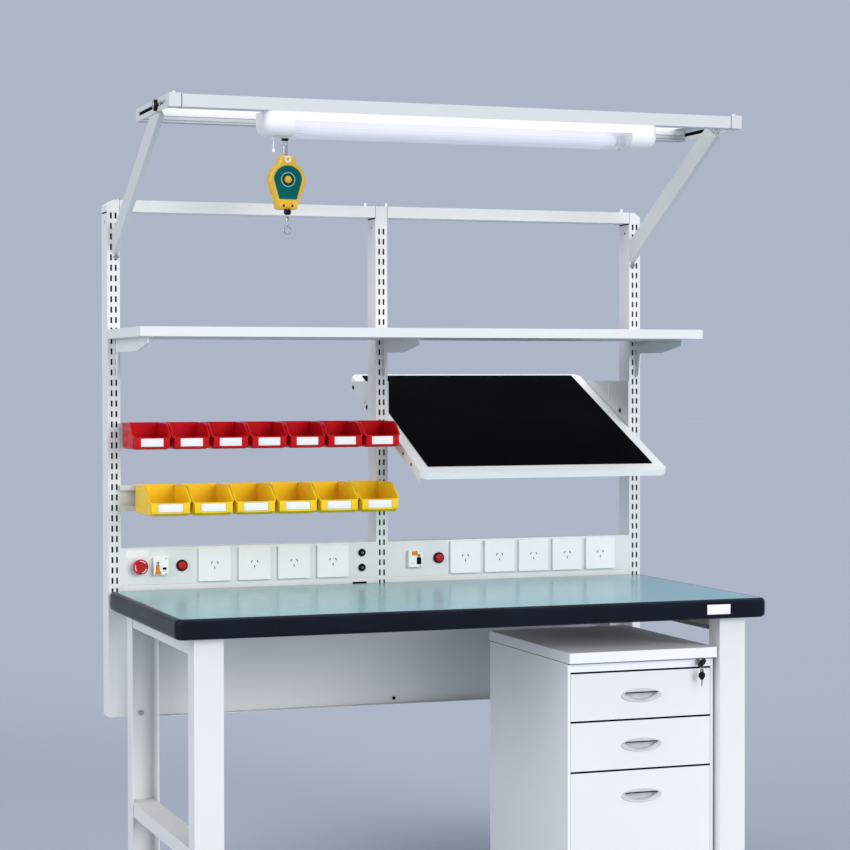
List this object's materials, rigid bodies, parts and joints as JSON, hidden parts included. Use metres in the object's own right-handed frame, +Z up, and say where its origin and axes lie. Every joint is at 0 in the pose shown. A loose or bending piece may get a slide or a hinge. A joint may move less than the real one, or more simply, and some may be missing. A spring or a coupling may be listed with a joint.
{
  "type": "esd work table",
  "caption": "Antistatic work table with slotted posts, overhead lamp frame, shelf, parts bins, tilting tray, power trunking, tool balancer and a drawer pedestal.",
  "frame": {"origin": "on the floor, at the middle of the outline seen from above", "axes": "+X to the right of the person at the table, +Y to the back, +Z up"},
  "size_m": [1.5, 1.1012, 1.96],
  "materials": {
    "frame_paint": "light grey powder coat",
    "laminate": "fine-textured antistatic laminate, grey green",
    "edge_band": "dark rounded edge band",
    "board": "chipboard core",
    "red_plastic": "moulded red",
    "yellow_plastic": "moulded yellow",
    "white_plastic": "white switchgear plastic",
    "black_plastic": "black moulded",
    "signal_red": "red push button",
    "lever_orange": "orange toggle",
    "mat_rubber": "black antistatic mat",
    "steel": "zinc plated",
    "clear_cover": "clear ribbed lamp cover",
    "tube_glass": "opal tube",
    "balancer_yellow": "yellow enamel",
    "board_grey": "pedestal powder coat"
  },
  "bodies": {
    "table": {"worktop_board": "board", "worktop_laminate": "laminate", "worktop_edge": "edge_band", "front_legs": "frame_paint", "rear_legs": "frame_paint", "side_rails": "frame_paint", "modesty_panel": "frame_paint", "levelling_feet": "black_plastic", "post_left": "frame_paint", "post_middle": "frame_paint", "post_right": "frame_paint", "post_ties": "frame_paint", "top_beam": "frame_paint", "shelf": "frame_paint", "shelf_brackets": "frame_paint", "bin_rails": "frame_paint", "red_bins": "red_plastic", "yellow_bins": "yellow_plastic", "lamp_arms": "frame_paint", "frame_bolts": "steel", "trunking_left": "frame_paint", "trunking_right": "frame_paint", "socket_plates": "white_plastic", "breaker_cases": "white_plastic", "jack_sockets": "black_plastic", "button_collars": "black_plastic", "tilt_hangers": "frame_paint"},
    "tilt_tray": {"tilt_frame": "frame_paint", "tilt_mat": "mat_rubber"},
    "clamps": {"clamp_bolts": "black_plastic"},
    "overhead": {"overhead_front_rail": "frame_paint", "overhead_rear_rail": "frame_paint", "overhead_end_channels": "frame_paint", "overhead_corner_blocks": "frame_paint", "lamp_base": "frame_paint", "lamp_end_caps": "white_plastic", "lamp_diffuser": "clear_cover", "lamp_tube": "tube_glass"},
    "pull_switch": {"lamp_pull": "white_plastic"},
    "trolley": {"trolley": "black_plastic"},
    "balancer": {"balancer_link": "steel", "balancer_case": "balancer_yellow"},
    "drum": {"balancer_drum": "steel"},
    "hook": {"balancer_hook": "steel"},
    "pedestal": {"pedestal_carcass": "board_grey", "pedestal_top": "board_grey", "drawer_runners": "steel"},
    "upper_drawer": {"drawer_top": "board_grey", "handle_top": "steel"},
    "middle_drawer": {"drawer_middle": "board_grey", "handle_middle": "steel"},
    "lower_drawer": {"drawer_bottom": "board_grey", "handle_bottom": "steel"},
    "lock": {"lock_key": "steel"},
    "spare": {"spare_key": "steel"},
    "estop": {"estop_head": "signal_red"},
    "left_button": {"red_button_left": "signal_red"},
    "right_button": {"red_button_right": "signal_red"},
    "left_lever": {"breaker_lever_left": "lever_orange"},
    "right_lever": {"breaker_lever_right": "black_plastic"}
  },
  "joints": [
    {"name": "tilt_shelf_tilt", "type": "hinge", "parent": "table", "child": "tilt_tray", "pos_m": [0, 0.39437, 1.23], "axis": [1, 0, 0], "range_deg": [-23, 10]},
    {"name": "overhead_tilt", "type": "hinge", "parent": "table", "child": "clamps", "pos_m": [0, -0.31063, 1.938], "axis": [1, 0, 0], "range_deg": [-8, 12]},
    {"name": "overhead_slide", "type": "slide", "parent": "clamps", "child": "overhead", "axis": [0, 1, 0], "range_m": [-0.04, 0.08]},
    {"name": "lamp_pull_slide", "type": "slide", "parent": "overhead", "child": "pull_switch", "axis": [0, 0, -1], "range_m": [0, 0.012], "stiffness_N_per_m": 200, "springref_m": -0.01},
    {"name": "trolley_slide", "type": "slide", "parent": "overhead", "child": "trolley", "axis": [1, 0, 0], "range_m": [-0.15, 0.87]},
    {"name": "balancer_swing", "type": "hinge", "parent": "trolley", "child": "balancer", "pos_m": [-0.362, -0.10063, 1.897], "axis": [0, 1, 0], "range_deg": [-30, 30]},
    {"name": "hook_slide", "type": "slide", "parent": "balancer", "child": "hook", "axis": [0, 0, -1], "range_m": [0, 0.09], "stiffness_N_per_m": 60, "springref_m": -0.05},
    {"name": "drum_turn", "type": "hinge", "parent": "balancer", "child": "drum", "pos_m": [-0.362, -0.10063, 1.782], "axis": [0, 1, 0], "range_deg": [-1, 200]},
    {"name": "pedestal_slide", "type": "slide", "parent": "table", "child": "pedestal", "axis": [0, -1, 0], "range_m": [0, 0.5]},
    {"name": "upper_drawer_slide", "type": "slide", "parent": "pedestal", "child": "upper_drawer", "axis": [0, -1, 0], "range_m": [0, 0.4]},
    {"name": "middle_drawer_slide", "type": "slide", "parent": "pedestal", "child": "middle_drawer", "axis": [0, -1, 0], "range_m": [0, 0.4]},
    {"name": "lower_drawer_slide", "type": "slide", "parent": "pedestal", "child": "lower_drawer", "axis": [0, -1, 0], "range_m": [0, 0.4]},
    {"name": "lock_turn", "type": "hinge", "parent": "pedestal", "child": "lock", "pos_m": [0.584, -0.49463, 0.5915], "axis": [0, 1, 0], "range_deg": [-80, 0]},
    {"name": "spare_key_hang", "type": "hinge", "parent": "lock", "child": "spare", "pos_m": [0.584, -0.49463, 0.5915], "axis": [0, 1, 0], "range_deg": [-1, 81]},
    {"name": "estop_push", "type": "slide", "parent": "table", "child": "estop", "axis": [0, 1, 0], "range_m": [0, 0.004]},
    {"name": "left_button_push", "type": "slide", "parent": "table", "child": "left_button", "axis": [0, 1, 0], "range_m": [0, 0.004], "stiffness_N_per_m": 400, "springref_m": -0.002},
    {"name": "right_button_push", "type": "slide", "parent": "table", "child": "right_button", "axis": [0, 1, 0], "range_m": [0, 0.004], "stiffness_N_per_m": 400, "springref_m": -0.002},
    {"name": "left_lever_flip", "type": "hinge", "parent": "table", "child": "left_lever", "pos_m": [-0.624, 0.19237, 0.8115], "axis": [-1, 0, 0], "range_deg": [0, 50]},
    {"name": "right_lever_flip", "type": "hinge", "parent": "table", "child": "right_lever", "pos_m": [0.091, 0.19237, 0.8115], "axis": [-1, 0, 0], "range_deg": [0, 50]}
  ],
  "couplings": [
    {"joint": "spare_key_hang", "follows": "lock_turn", "ratio": -1},
    {"joint": "drum_turn", "follows": "hook_slide", "rad_per_m": 38.462}
  ]
}
